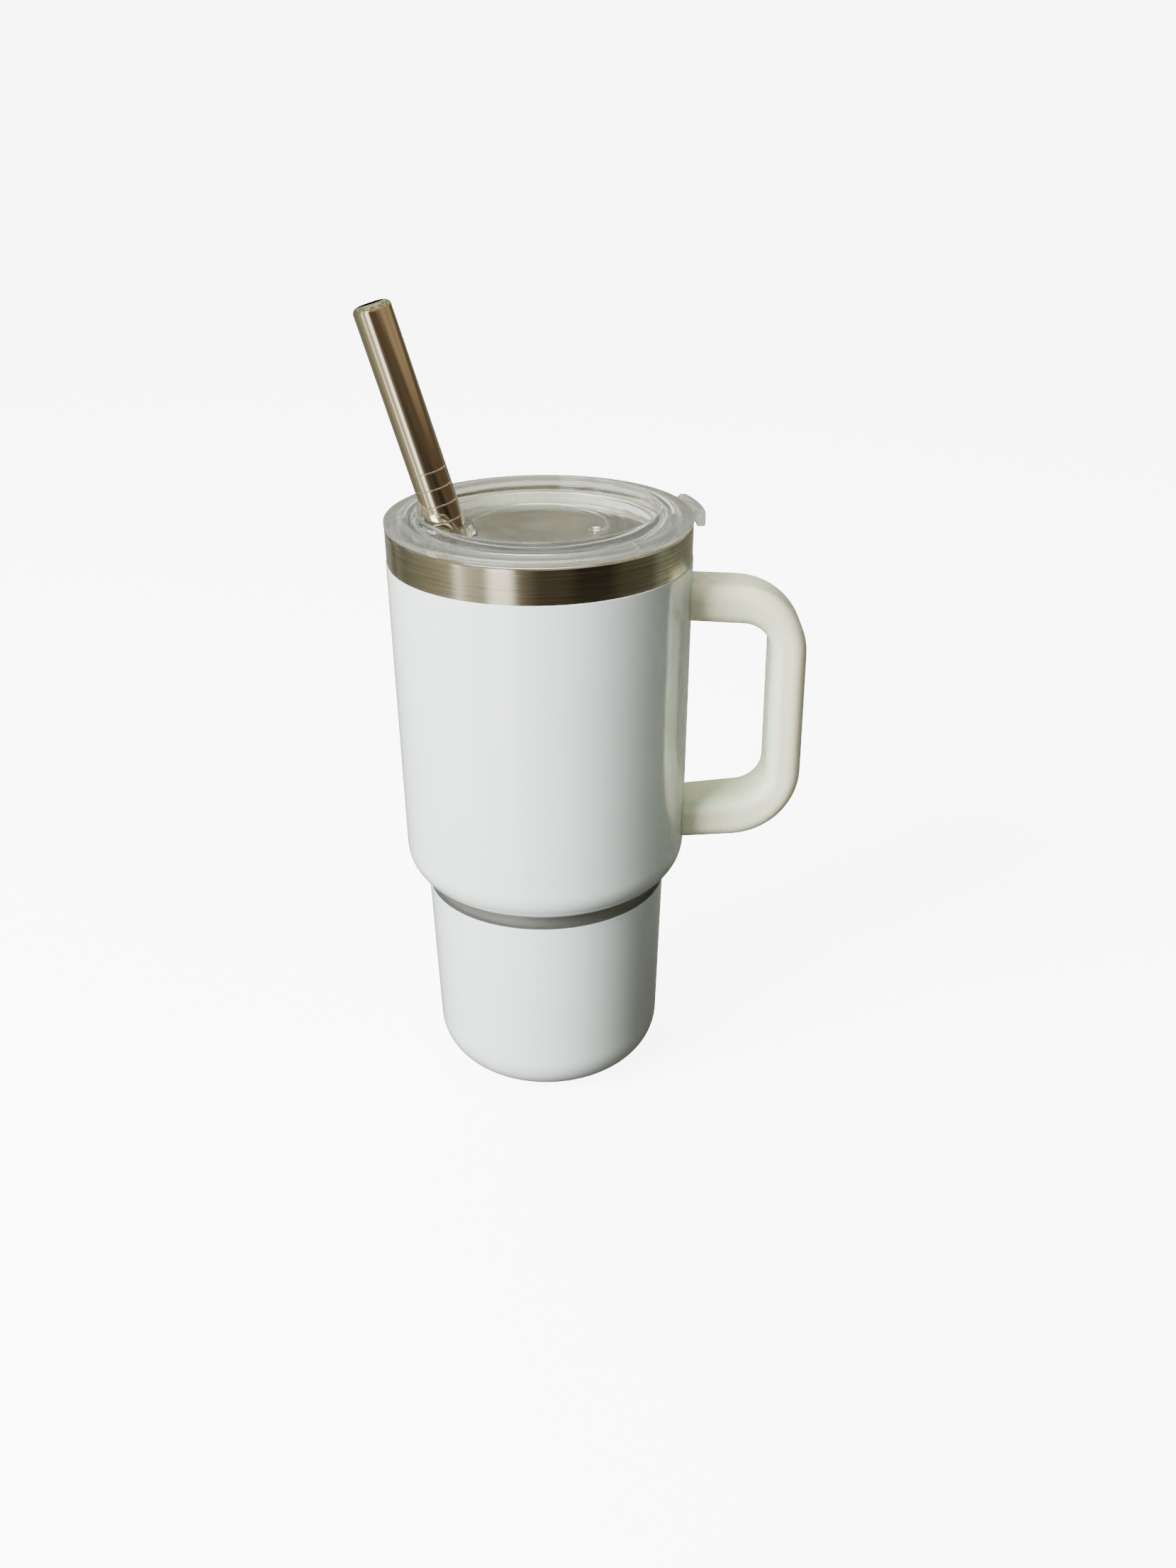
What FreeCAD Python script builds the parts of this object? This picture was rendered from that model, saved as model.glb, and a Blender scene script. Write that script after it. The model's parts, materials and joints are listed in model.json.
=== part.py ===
import FreeCAD, Part

import math
import os

from FreeCAD import Vector

# A 3 oz double-wall steel tumbler with a D-handle, a clear press-in lid and a straight metal straw.
# Millimetres. The cup's axis is +Z, the origin is the centre of the face it rests on,
# and the handle points along +X.

# ---- driving dimensions -------------------------------------------------------------------
SHEET = 0.5                # steel wall, outer shell and liner
COAT = 0.12                # paint thickness
SEAM = 0.03                # hairline between the handle and the cup

# painted outside of the upper section
PAINT_TOP_Z = 93.7
PAINT_TOP_R = 24.66
SHOULDER_Z = 37.4
SHOULDER_R = 23.88
SHOULDER_ROUND = 6.0

# neck and lower section
NECK_R = 19.6
LEDGE_Z = 35.96
LEDGE_R = 20.56
BASE_Z = 0.40
BASE_R = 19.42
BASE_ROUND = 8.0
BASE_HOLE_R = 11.1
NECK_COLLAR_Z = 38.4       # top of the lower shell's collar, inside the upper shell

# mouth
LIP_Z = 99.45
LIP_HEIGHT = 0.85
LIP_ROUND = 0.38

# liner: a straight seat for the lid's seal, then a cone down to the bottom
LINER_SEAT_R = 22.5
LINER_SEAT_Z = 93.0
LINER_BASE_R = 16.0
LINER_BASE_Z = 6.5
LINER_BASE_ROUND = 5.0

# radiation shield wrapped on the liner
FOIL_Z = (50.0, 92.0)
FOIL_THICKNESS = 0.15
FOIL_CLEARANCE = 0.04

# closed bottom
PAN_Z = 2.4
PAN_R = 11.05
COVER_THICKNESS = 0.4
PAD_R = 9.6
PAD_Z = 0.55
SEAL_HOLE_R = 0.6
SEAL_BEAD_R = 1.5
GETTER_X = 6.0
GETTER_R = 2.0
GETTER_HEIGHT = 1.2
CLIP_WALL = 0.45

# handle, in the X-Z plane
GRIP_X = (37.55, 43.45)    # inner and outer faces of the grip
GRIP_HALF_WIDTH = 5.4
GRIP_TOP_Z = (82.95, 89.0)
GRIP_BOTTOM_Z = (52.5, 45.4)
LEG_TOP_Z = (83.75, 89.95)  # inner and outer faces where the upper leg meets the cup
LEG_BOTTOM_Z = (51.2, 44.4)
LEG_ROOT_X = 24.0
GRIP_INNER_ROUND = 5.0
GRIP_OUTER_ROUND = 12.0
GRIP_EDGE_ROUND = 2.6
GRIP_WALL = 1.4
STRIP_THICKNESS = 1.2
STRIP_HALF_WIDTH = 4.3
STRIP_CLEARANCE = 0.04
CAVITY_HALF_WIDTH = 3.4
WEB_X = (30.2, 31.6)

# handle fixings
STUD_R = 1.55
STUD_END_X = 30.1
STUD_BORE_R = 0.85
STUD_BORE_START_X = 25.6
SCREW_R = 0.8
SCREW_HEAD_R = 1.5
SCREW_HEAD_LENGTH = 1.3
SCREW_DRIVE_R = 0.7
SCREW_DRIVE_DEPTH = 0.8

# lid
LID_R = 24.72
FLANGE_Z = (99.55, 100.5)
RIDGE_OUTER = (20.9, 101.4)
RIDGE_INNER = (19.1, 101.9)
WELL_R = 18.4
WELL_FLOOR_Z = 99.0
FLOOR_THICKNESS = 1.4
PLUG_R = (19.6, 21.2)
PLUG_END_Z = 94.8
SEAL_GROOVE_R = 20.6
SEAL_GROOVE_Z = (95.8, 98.2)
SEAL_LIP_R = 21.92
SEAL_BODY_R = 21.3
SEAL_CLEARANCE = 0.05
VENT_R = 0.7
VENT_RADIUS = 9.6
VENT_AZIMUTH = -19.0
VENT_BOSS_R = 1.3
VENT_BOSS_HEIGHT = 0.25
TAB_AZIMUTH = (2.0, 24.0)
TAB_R = (25.15, 26.6)
TAB_Z = (98.1, 100.95)
RIB_AZIMUTH = -50.5
RIB_R = (22.5, 24.4)
RIB_WIDTH = 0.7
RIB_HEIGHT = 0.3

# straw: a 6 mm tube that leans along (STRAW_LEAN_X, STRAW_LEAN_Y, 1)
STRAW_R = 3.0
STRAW_WALL = 0.5
STRAW_LEAN_X = -0.2945
STRAW_LEAN_Y = 0.03
STRAW_HOLE = Vector(-14.1, -4.5, WELL_FLOOR_Z)
STRAW_BOTTOM_Z = 17.0
STRAW_TOP_Z = 133.5
STRAW_TIP_ROUND = 1.0
STRAW_LIP = 0.5
STRAW_HOLE_R = 3.3
COLLAR_R = 4.1
COLLAR_RISE = 0.6
COLLAR_DROP = 3.4
RING_FIRST_Z = 108.75
RING_PITCH = 2.65
RING_COUNT = 4
RING_DEPTH = 0.12
RING_HALF_WIDTH = 0.16

ORIGIN = Vector(0, 0, 0)
UP = Vector(0, 0, 1)
STRAW_AXIS = Vector(STRAW_LEAN_X, STRAW_LEAN_Y, 1.0).normalize()


# ---- helpers ------------------------------------------------------------------------------
def rounded_wire(corners):
    """A closed wire in the X-Z plane. Each corner is (x, z) or (x, z, radius)."""
    points = [Vector(c[0], 0, c[1]) for c in corners]
    radii = [c[2] if len(c) > 2 else 0.0 for c in corners]
    ends, arcs = [], []
    for i, corner in enumerate(points):
        to_previous = (points[i - 1] - corner).normalize()
        to_next = (points[(i + 1) % len(points)] - corner).normalize()
        if radii[i] == 0.0:
            ends.append((corner, corner))
            arcs.append(None)
            continue
        half = to_previous.getAngle(to_next) / 2
        reach = radii[i] / math.tan(half)
        start, end = corner + to_previous * reach, corner + to_next * reach
        bisector = (to_previous + to_next).normalize()
        middle = corner + bisector * (radii[i] / math.sin(half) - radii[i])
        ends.append((start, end))
        arcs.append(Part.Arc(start, middle, end).toShape())
    edges = []
    for i, arc in enumerate(arcs):
        if arc:
            edges.append(arc)
        leave, arrive = ends[i][1], ends[(i + 1) % len(ends)][0]
        if leave.distanceToPoint(arrive) > 1e-6:
            edges.append(Part.makeLine(leave, arrive))
    return Part.Wire(edges)


def turned(corners, start=0.0, sweep=360.0):
    """A solid of revolution about Z from an (r, z) outline."""
    face = Part.Face(rounded_wire(corners))
    face.rotate(ORIGIN, UP, start)
    return face.revolve(ORIGIN, UP, sweep)


def plate(corners, half_width):
    """An X-Z outline, thickened to half_width on each side of the X-Z plane."""
    face = Part.Face(rounded_wire(corners))
    face.translate(Vector(0, -half_width, 0))
    return face.extrude(Vector(0, 2 * half_width, 0))


def rod_x(radius, x_start, x_end, z):
    return Part.makeCylinder(radius, x_end - x_start, Vector(x_start, 0, z), Vector(1, 0, 0))


def disc(radius, z_low, z_high, centre=(0.0, 0.0)):
    return Part.makeCylinder(radius, z_high - z_low, Vector(centre[0], centre[1], z_low), UP)


def at_azimuth(radius, azimuth):
    angle = math.radians(azimuth)
    return radius * math.cos(angle), radius * math.sin(angle)


def straw_point(z):
    """The point of the straw's axis at height z."""
    return STRAW_HOLE + Vector(STRAW_LEAN_X, STRAW_LEAN_Y, 1.0) * (z - STRAW_HOLE.z)


def along_straw(shape, z):
    """Move a shape made on +Z so that its origin is on the straw's axis at height z."""
    shape.Placement = FreeCAD.Placement(straw_point(z), FreeCAD.Rotation(UP, STRAW_AXIS))
    return shape


# ---- cup walls ----------------------------------------------------------------------------
def upper_radius(z):
    """Painted radius of the upper section at height z, along its straight taper."""
    share = (z - SHOULDER_Z) / (PAINT_TOP_Z - SHOULDER_Z)
    return SHOULDER_R + share * (PAINT_TOP_R - SHOULDER_R)


def upper_form(inset, z_top):
    """The upper section as a closed solid up to z_top, its painted surface moved in by inset."""
    return turned([
        (0, SHOULDER_Z + inset),
        (SHOULDER_R - inset, SHOULDER_Z + inset, SHOULDER_ROUND - inset),
        (upper_radius(z_top) - inset, z_top),
        (0, z_top),
    ])


def lower_wall(inset):
    """The lower section's outline below the ledge, its painted surface moved in by inset."""
    return [
        (BASE_R - inset, BASE_Z + inset, BASE_ROUND - inset),
        (BASE_HOLE_R, BASE_Z + inset),
    ]


def liner_radius(z):
    """Outer radius of the liner at height z."""
    share = (z - LINER_BASE_Z) / (LINER_SEAT_Z - LINER_BASE_Z)
    return LINER_BASE_R + min(share, 1.0) * (LINER_SEAT_R - LINER_BASE_R)


def liner_outline(inset):
    """The liner's outer surface from its top down to its centre, moved inwards by inset."""
    return [
        (LINER_SEAT_R - inset, wall_top),
        (LINER_SEAT_R - inset, LINER_SEAT_Z),
        (LINER_BASE_R - inset, LINER_BASE_Z + inset, LINER_BASE_ROUND - inset),
        (0.0, LINER_BASE_Z + inset),
    ]


parts = {}
wall_top = LIP_Z - LIP_HEIGHT

# outer wall: two drawn shells, welded where the lower one's collar enters the upper one
upper_shell = upper_form(COAT, wall_top).cut(upper_form(COAT + SHEET, wall_top))
parts["upper_shell"] = upper_shell.cut(disc(NECK_R, SHOULDER_Z - 1, SHOULDER_Z + 2))
steel, bore = COAT, COAT + SHEET
parts["lower_shell"] = turned([
    (NECK_R, NECK_COLLAR_Z), (NECK_R, LEDGE_Z), (LEDGE_R - steel, LEDGE_Z),
    *lower_wall(steel), *lower_wall(bore)[::-1],
    (LEDGE_R - bore, LEDGE_Z - SHEET), (NECK_R - SHEET, LEDGE_Z - SHEET),
    (NECK_R - SHEET, NECK_COLLAR_Z),
])
parts["inner_liner"] = turned(liner_outline(0.0) + liner_outline(SHEET)[::-1])
parts["mouth_ring"] = turned([
    (upper_radius(wall_top) - COAT, wall_top),
    (upper_radius(LIP_Z) - COAT, LIP_Z, LIP_ROUND),
    (LINER_SEAT_R - SHEET, LIP_Z, LIP_ROUND),
    (LINER_SEAT_R - SHEET, wall_top),
])

coat_upper = upper_form(0.0, PAINT_TOP_Z).cut(upper_form(COAT, PAINT_TOP_Z))
parts["coat_upper"] = coat_upper.cut(disc(NECK_R + 0.3, SHOULDER_Z - 1, SHOULDER_Z + 2))
parts["coat_lower"] = turned([
    (LEDGE_R, LEDGE_Z), *lower_wall(0.0), *lower_wall(COAT)[::-1], (LEDGE_R - COAT, LEDGE_Z),
])

foil_inner = [(liner_radius(z) + FOIL_CLEARANCE, z) for z in FOIL_Z]
foil_outer = [(r + FOIL_THICKNESS, z) for r, z in foil_inner]
parts["copper_foil"] = turned(foil_inner + foil_outer[::-1])

# ---- closed bottom: welded pan with its seal, getter, cover disc and foot ------------------
pan_foot = BASE_Z + COAT
pan = turned([
    (0, PAN_Z - SHEET), (PAN_R - SHEET, PAN_Z - SHEET, 0.2), (PAN_R - SHEET, pan_foot),
    (PAN_R, pan_foot), (PAN_R, PAN_Z, 0.6), (0, PAN_Z),
])
parts["vacuum_base"] = pan.cut(disc(SEAL_HOLE_R, 0, PAN_Z + 1))
seal_low = PAN_Z - SHEET - 0.4
parts["seal_plug"] = turned([
    (0, seal_low), (SEAL_BEAD_R, seal_low, 0.3), (SEAL_BEAD_R, PAN_Z - SHEET),
    (SEAL_HOLE_R, PAN_Z - SHEET), (SEAL_HOLE_R, PAN_Z), (0, PAN_Z),
])
cover_top = pan_foot + COVER_THICKNESS
parts["base_cover"] = disc(PAN_R - SHEET - 0.05, pan_foot, cover_top).cut(disc(PAD_R, 0, PAD_Z))
parts["foot_pad"] = turned([(0, 0), (PAD_R, 0, 0.2), (PAD_R, PAD_Z), (0, PAD_Z)])

getter_at = (GETTER_X, 0.0)
getter_z = PAN_Z + CLIP_WALL
clip = disc(GETTER_R + CLIP_WALL, PAN_Z, getter_z + GETTER_HEIGHT / 2, getter_at)
parts["getter_clip"] = clip.cut(disc(GETTER_R, getter_z, PAN_Z + 5, getter_at))
parts["getter"] = disc(GETTER_R, getter_z, getter_z + GETTER_HEIGHT, getter_at)

# ---- handle -------------------------------------------------------------------------------
def leg_face(root_z, grip_z, grip_x, x):
    """Height at x of a leg face that runs from the cup's wall to the grip's corner."""
    return root_z + (grip_z - root_z) * (x - LEG_ROOT_X) / (grip_x - LEG_ROOT_X)


def grip_path(inset, x_end):
    """The handle's outer face, moved inwards by inset, from the upper leg to the lower leg."""
    x = GRIP_X[1]
    outer_round = GRIP_OUTER_ROUND - inset
    return [
        (x_end, leg_face(LEG_TOP_Z[1], GRIP_TOP_Z[1], x, x_end) - inset),
        (x - inset, GRIP_TOP_Z[1] - inset, outer_round),
        (x - inset, GRIP_BOTTOM_Z[1] + inset, outer_round),
        (x_end, leg_face(LEG_BOTTOM_Z[1], GRIP_BOTTOM_Z[1], x, x_end) + inset),
    ]


def strip_path(inset, x_end):
    """The handle's inner face, moved into the grip by inset, from the lower leg to the upper."""
    x = GRIP_X[0]
    return [
        (x_end, leg_face(LEG_BOTTOM_Z[0], GRIP_BOTTOM_Z[0], x, x_end) - inset),
        (x + inset, GRIP_BOTTOM_Z[0] - inset, GRIP_INNER_ROUND + inset),
        (x + inset, GRIP_TOP_Z[0] + inset, GRIP_INNER_ROUND + inset),
        (x_end, leg_face(LEG_TOP_Z[0], GRIP_TOP_Z[0], x, x_end) + inset),
    ]


def outer_edges(shape):
    """The edges of the grip's two flat sides that lie along its outer face."""
    chosen = []
    for edge in shape.Edges:
        middle = edge.valueAt((edge.FirstParameter + edge.LastParameter) / 2)
        on_side = abs(abs(middle.y) - GRIP_HALF_WIDTH) < 1e-4 and edge.BoundBox.YLength < 1e-4
        lower, upper = GRIP_BOTTOM_Z[0], GRIP_TOP_Z[0]
        beyond_strip = middle.x > GRIP_X[0] + 1 or middle.z > upper + 3 or middle.z < lower - 3
        if on_side and beyond_strip and middle.x > root_x + 1e-3:
            chosen.append(edge)
    return chosen


root_x = LEG_ROOT_X - 4.0
grip = plate(grip_path(0.0, root_x) + strip_path(0.0, root_x), GRIP_HALF_WIDTH)
grip = grip.makeFillet(GRIP_EDGE_ROUND, outer_edges(grip))
rebate = plate(strip_path(STRIP_THICKNESS, root_x) + strip_path(0.0, root_x)[::-1], STRIP_HALF_WIDTH)
cavity = plate(grip_path(GRIP_WALL, root_x) + strip_path(0.0, root_x), CAVITY_HALF_WIDTH)
webs = Part.makeBox(WEB_X[1] - WEB_X[0], 20, 100, Vector(WEB_X[0], -10, 0))

stud_z = {
    "upper": (leg_face(LEG_TOP_Z[1], GRIP_TOP_Z[1], GRIP_X[1], 28) - GRIP_WALL
              + leg_face(LEG_TOP_Z[0], GRIP_TOP_Z[0], GRIP_X[0], 28) + STRIP_THICKNESS) / 2,
    "lower": (leg_face(LEG_BOTTOM_Z[1], GRIP_BOTTOM_Z[1], GRIP_X[1], 28) + GRIP_WALL
              + leg_face(LEG_BOTTOM_Z[0], GRIP_BOTTOM_Z[0], GRIP_X[0], 28) - STRIP_THICKNESS) / 2,
}
cup_form = upper_form(0.0, LIP_Z)
cup_and_seam = upper_form(-SEAM, LIP_Z)
handle = grip.cut(rebate).cut(cavity.cut(webs)).cut(cup_and_seam)
for side, z in stud_z.items():
    stud = rod_x(STUD_R, LEG_ROOT_X - 3, STUD_END_X, z).cut(cup_form)
    parts[side + "_stud"] = stud.cut(rod_x(STUD_BORE_R, STUD_BORE_START_X, STUD_END_X + 1, z))
    handle = handle.cut(rod_x(SCREW_R + 0.2, WEB_X[0] - 1, WEB_X[1] + 1, z))
    head_end = WEB_X[1] + SCREW_HEAD_LENGTH
    screw = rod_x(SCREW_R, STUD_BORE_START_X + 0.3, WEB_X[1], z)
    screw = screw.fuse(rod_x(SCREW_HEAD_R, WEB_X[1], head_end, z))
    drive = rod_x(SCREW_DRIVE_R, head_end - SCREW_DRIVE_DEPTH, head_end + 1, z)
    parts[side + "_screw"] = screw.cut(drive).removeSplitter()
parts["handle_shell"] = handle

gap = STRIP_CLEARANCE
strip = plate(strip_path(STRIP_THICKNESS - gap, root_x) + strip_path(0.0, root_x)[::-1],
              STRIP_HALF_WIDTH - gap)
parts["handle_inner_cover"] = strip.cut(cup_and_seam)

# ---- lid ----------------------------------------------------------------------------------
floor_under = WELL_FLOOR_Z - FLOOR_THICKNESS
lid = turned([
    (0, WELL_FLOOR_Z), (WELL_R, WELL_FLOOR_Z, 0.5),
    RIDGE_INNER + (0.3,), RIDGE_OUTER + (0.6,), (LID_R, FLANGE_Z[1], 0.3),
    (LID_R - 0.05, FLANGE_Z[0], 0.2), (PLUG_R[1], FLANGE_Z[0]),
    (PLUG_R[1], SEAL_GROOVE_Z[1]), (SEAL_GROOVE_R, SEAL_GROOVE_Z[1]),
    (SEAL_GROOVE_R, SEAL_GROOVE_Z[0]), (PLUG_R[1], SEAL_GROOVE_Z[0]),
    (PLUG_R[1], PLUG_END_Z, 0.3), (PLUG_R[0], PLUG_END_Z, 0.3),
    (PLUG_R[0], floor_under, 0.4), (0, floor_under),
])

# pull tab: stands out beyond the rim and hooks down beside the bare steel band
tab = turned([
    (LID_R - 1.0, FLANGE_Z[1] - 0.5), (LID_R + 0.6, TAB_Z[1], 0.3), (TAB_R[1], TAB_Z[1] - 0.25, 0.5),
    (TAB_R[1], TAB_Z[0], 0.35), (TAB_R[0], TAB_Z[0], 0.3), (TAB_R[0], FLANGE_Z[0] + 0.1),
    (LID_R - 1.0, FLANGE_Z[0] + 0.1),
], TAB_AZIMUTH[0], TAB_AZIMUTH[1] - TAB_AZIMUTH[0])

# small radial rib on the sloping rim
slope = math.atan2(RIDGE_OUTER[1] - FLANGE_Z[1], LID_R - RIDGE_OUTER[0])
rib_length = (RIB_R[1] - RIB_R[0]) / math.cos(slope)
rib = Part.makeBox(rib_length, RIB_WIDTH, 2 * RIB_HEIGHT, Vector(0, -RIB_WIDTH / 2, -RIB_HEIGHT))
rib = rib.makeFillet(0.15, [e for e in rib.Edges if e.CenterOfMass.z > RIB_HEIGHT - 1e-6])
rib.rotate(ORIGIN, Vector(0, 1, 0), math.degrees(slope))
rib.translate(Vector(RIB_R[0], 0, FLANGE_Z[1] + (LID_R - RIB_R[0]) * math.tan(slope)))
rib.rotate(ORIGIN, UP, RIB_AZIMUTH)

# straw collar and bore, both along the straw's leaning axis
collar = along_straw(Part.makeCylinder(COLLAR_R, COLLAR_RISE + COLLAR_DROP),
                     WELL_FLOOR_Z - COLLAR_DROP)
collar = collar.common(disc(PLUG_R[0] + 0.2, PLUG_END_Z, RIDGE_INNER[1]))
bore = along_straw(Part.makeCylinder(STRAW_HOLE_R, 14), WELL_FLOOR_Z - 8)

vent_at = at_azimuth(VENT_RADIUS, VENT_AZIMUTH)
vent_boss = disc(VENT_BOSS_R, floor_under, WELL_FLOOR_Z + VENT_BOSS_HEIGHT, vent_at)
vent = disc(VENT_R, floor_under - 1, WELL_FLOOR_Z + 1, vent_at)
lid = lid.fuse([tab, rib, collar, vent_boss]).removeSplitter()
parts["lid_cap"] = lid.cut(bore).cut(vent)

# silicone ring with two soft lips, in the plug's groove
seal_low, seal_high = SEAL_GROOVE_Z[0] + SEAL_CLEARANCE, SEAL_GROOVE_Z[1] - SEAL_CLEARANCE
seal_middle = (seal_low + seal_high) / 2
seal_inner = SEAL_GROOVE_R + SEAL_CLEARANCE
parts["lid_seal"] = turned([
    (seal_inner, seal_low), (SEAL_BODY_R, seal_low), (SEAL_LIP_R, seal_low + 0.35, 0.12),
    (SEAL_BODY_R, seal_middle, 0.2), (SEAL_LIP_R, seal_high - 0.35, 0.12),
    (SEAL_BODY_R, seal_high), (seal_inner, seal_high),
])

# ---- straw --------------------------------------------------------------------------------
stretch = 1.0 / STRAW_AXIS.z
length = (STRAW_TOP_Z - STRAW_BOTTOM_Z) * stretch
bore_r = STRAW_R - STRAW_WALL
mouth_r = STRAW_R - STRAW_TIP_ROUND
straw = turned([
    (STRAW_R, 0, 0.2), (STRAW_R, length, STRAW_TIP_ROUND), (mouth_r, length),
    (mouth_r, length - STRAW_LIP), (bore_r, length - STRAW_LIP, STRAW_TIP_ROUND - STRAW_WALL),
    (bore_r, 0, 0.2),
])
first_ring = (RING_FIRST_Z - STRAW_BOTTOM_Z) * stretch
for i in range(RING_COUNT):
    at = first_ring - i * RING_PITCH
    groove = turned([
        (STRAW_R - RING_DEPTH, at), (STRAW_R + 0.3, at - 3.5 * RING_HALF_WIDTH),
        (STRAW_R + 0.3, at + 3.5 * RING_HALF_WIDTH),
    ])
    straw = straw.cut(groove)
parts["straw"] = along_straw(straw, STRAW_BOTTOM_Z)

# ---- write --------------------------------------------------------------------------------
os.makedirs("parts", exist_ok=True)
for name, shape in parts.items():
    shape.exportStep(os.path.join("parts", name + ".step"))
    box = shape.BoundBox
    print("%-20s solids %d valid %s volume %9.2f z %.2f..%.2f r %.2f" % (
        name, len(shape.Solids), shape.isValid(), shape.Volume, box.ZMin, box.ZMax, box.XMax))
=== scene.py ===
"""Visible pieces and finishes of a small insulated tumbler with a D-handle, clear lid and straw.

Lengths are metres in the CAD frame: +Z up the cup's axis, +X towards the handle, and the origin
in the middle of the face that the cup rests on.
"""

import json
import math

import bmesh
import bpy
from bpy.props import FloatProperty, FloatVectorProperty, IntProperty, PointerProperty
from mathutils import Euler, Matrix, Vector


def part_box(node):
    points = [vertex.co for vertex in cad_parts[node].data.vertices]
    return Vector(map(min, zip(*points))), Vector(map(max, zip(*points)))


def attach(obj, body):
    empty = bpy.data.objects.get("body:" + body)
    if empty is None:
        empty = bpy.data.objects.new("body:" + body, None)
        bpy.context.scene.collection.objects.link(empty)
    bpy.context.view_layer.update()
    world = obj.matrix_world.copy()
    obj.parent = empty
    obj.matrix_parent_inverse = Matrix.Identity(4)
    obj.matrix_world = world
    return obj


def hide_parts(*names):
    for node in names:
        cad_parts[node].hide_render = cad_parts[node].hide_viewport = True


bl_info = {
    "name": "Lidded tumbler",
    "version": (1, 0, 0),
    "blender": (4, 5, 0),
    "location": "3D View > Sidebar > Tumbler",
    "description": "Makes the visible pieces of a small steel tumbler around its packed CAD model",
    "category": "Add Mesh",
}

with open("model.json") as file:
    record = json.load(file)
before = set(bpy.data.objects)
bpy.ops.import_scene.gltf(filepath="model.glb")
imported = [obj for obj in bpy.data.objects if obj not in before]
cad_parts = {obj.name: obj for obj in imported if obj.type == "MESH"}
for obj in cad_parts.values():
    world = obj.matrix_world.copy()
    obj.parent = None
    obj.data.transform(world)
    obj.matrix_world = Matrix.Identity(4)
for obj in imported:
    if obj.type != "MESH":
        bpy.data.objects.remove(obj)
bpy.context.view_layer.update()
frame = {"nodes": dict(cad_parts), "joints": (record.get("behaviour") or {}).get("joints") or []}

MM = 0.001
TURN_STEPS = 256                  # faces round a turned piece
ARC_STEP = math.radians(6.0)      # largest turn of an outline's round per face
HOLD = 0.12 * MM                  # distance of the holding loop beside a round
SHARP_ANGLE = math.radians(32.0)
FINE = 1e-7                       # radii and gaps below this are taken as nothing
CLEAR_IOR = 1.49
STRAW_STEPS = 96                  # faces round the straw
NEARLY = 0.999                    # keeps a full round from meeting the next corner


# ---- sizes taken from the CAD model -----------------------------------------------------------
def top_of(node):
    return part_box(node)[1].z


def bottom_of(node):
    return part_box(node)[0].z


def radius_of(node):
    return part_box(node)[1].x


PAINT_TOP_Z = top_of("coat_upper")
SHOULDER_Z = bottom_of("coat_upper")
LIP_Z = top_of("mouth_ring")
WALL_TOP_Z = top_of("upper_shell")
LEDGE_Z = top_of("coat_lower")
BASE_Z = bottom_of("coat_lower")
COLLAR_Z = top_of("lower_shell")
STRAW_JOINT = next(j for j in frame["joints"] if j["name"] == "straw_slide")
STRAW_AXIS = Vector(STRAW_JOINT["axis"]).normalized()


# ---- settings ---------------------------------------------------------------------------------
def length(name, value, description):
    return FloatProperty(name=name, description=description, default=value, min=0.0,
                         unit="LENGTH", precision=5)


def colour(name, value, description):
    return FloatVectorProperty(name=name, description=description, default=value, size=3,
                               min=0.0, max=1.0, subtype="COLOR")


class CupSettings(bpy.types.PropertyGroup):
    """Sizes and colours of the cup's walls."""

    coat: length("Paint", 0.12 * MM, "Thickness of the paint")
    sheet: length("Sheet", 0.5 * MM, "Thickness of the steel")
    top_radius: length("Top radius", 24.66 * MM, "Painted radius at the top of the paint")
    shoulder_radius: length("Shoulder radius", 23.88 * MM, "Painted radius above the shoulder")
    shoulder_round: length("Shoulder round", 6.0 * MM, "Rounding under the upper section")
    neck_radius: length("Neck radius", 19.6 * MM, "Radius of the bare steel neck")
    neck_gap: length("Neck gap", 0.3 * MM, "Bare steel between the neck and the upper paint")
    ledge_radius: length("Ledge radius", 20.56 * MM, "Painted radius of the lower section's top")
    ledge_round: length("Ledge round", 0.1 * MM, "Rounding of the steel ledge's edge")
    base_radius: length("Base radius", 19.42 * MM, "Painted radius that the lower wall runs to")
    base_round: length("Base round", 8.0 * MM, "Rounding at the bottom")
    base_hole: length("Base hole", 11.1 * MM, "Radius of the opening closed by the base pan")
    seat_radius: length("Seat radius", 22.0 * MM, "Inside radius of the mouth")
    seat_depth: length("Seat depth", 5.6 * MM, "Height of the straight seat for the lid's seal")
    seat_round: length("Seat round", 3.0 * MM, "Rounding where the seat meets the liner's taper")
    liner_base: length("Liner base", 15.5 * MM, "Inside radius that the liner narrows to")
    liner_round: length("Liner round", 5.0 * MM, "Rounding at the liner's bottom")
    lip_round: length("Lip round", 0.4 * MM, "Rounding of the rolled lip")
    paint: colour("Paint colour", (0.72, 0.80, 0.755), "Cool white paint")
    # The band's warm brown cast is a painted reflection of a warm room; the steel itself is plain
    # grey.
    steel: colour("Steel colour", (0.60, 0.55, 0.42), "Brushed steel of the band")


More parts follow.
